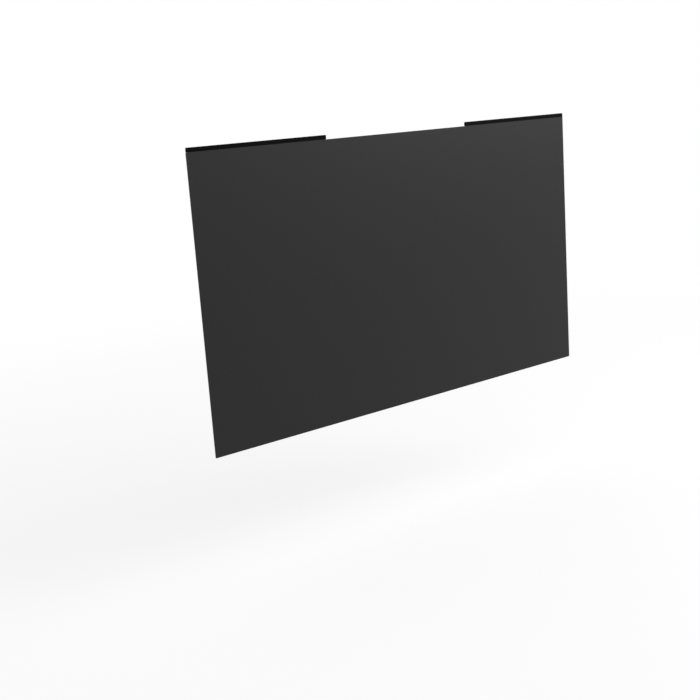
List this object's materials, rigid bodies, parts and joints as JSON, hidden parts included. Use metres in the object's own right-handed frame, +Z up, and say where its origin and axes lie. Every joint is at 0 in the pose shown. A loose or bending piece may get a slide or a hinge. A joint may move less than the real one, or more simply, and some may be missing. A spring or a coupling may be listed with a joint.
{
  "type": "monitor privacy filter",
  "caption": "Thin dark louvred privacy sheet for a wide desktop display, with magnetic strips along its top edge that snap to steel plates taped to the bezel.",
  "frame": {"origin": "middle of the sheet's lower edge, on its face towards the display", "axes": "+X to the user's right, +Y from the user towards the display, +Z up the sheet"},
  "size_m": [0.531, 0.0029, 0.3035],
  "materials": {
    "privacy_film": "matt anti-glare louvre film, almost black from the side",
    "strip_plastic": "fine satin moulded black",
    "magnet_band": "dark brown-grey rubber-bonded ferrite",
    "bezel_plate": "thin steel, satin dark grey",
    "adhesive_tape": "pale grey acrylic foam tape"
  },
  "bodies": {
    "root": {"filter_sheet": "privacy_film", "left_strip": "strip_plastic", "left_strip_tape": "adhesive_tape", "left_magnet": "magnet_band", "left_bezel_plate": "bezel_plate", "left_bezel_tape": "adhesive_tape", "right_strip": "strip_plastic", "right_strip_tape": "adhesive_tape", "right_magnet": "magnet_band", "right_bezel_plate": "bezel_plate", "right_bezel_tape": "adhesive_tape"}
  },
  "joints": []
}
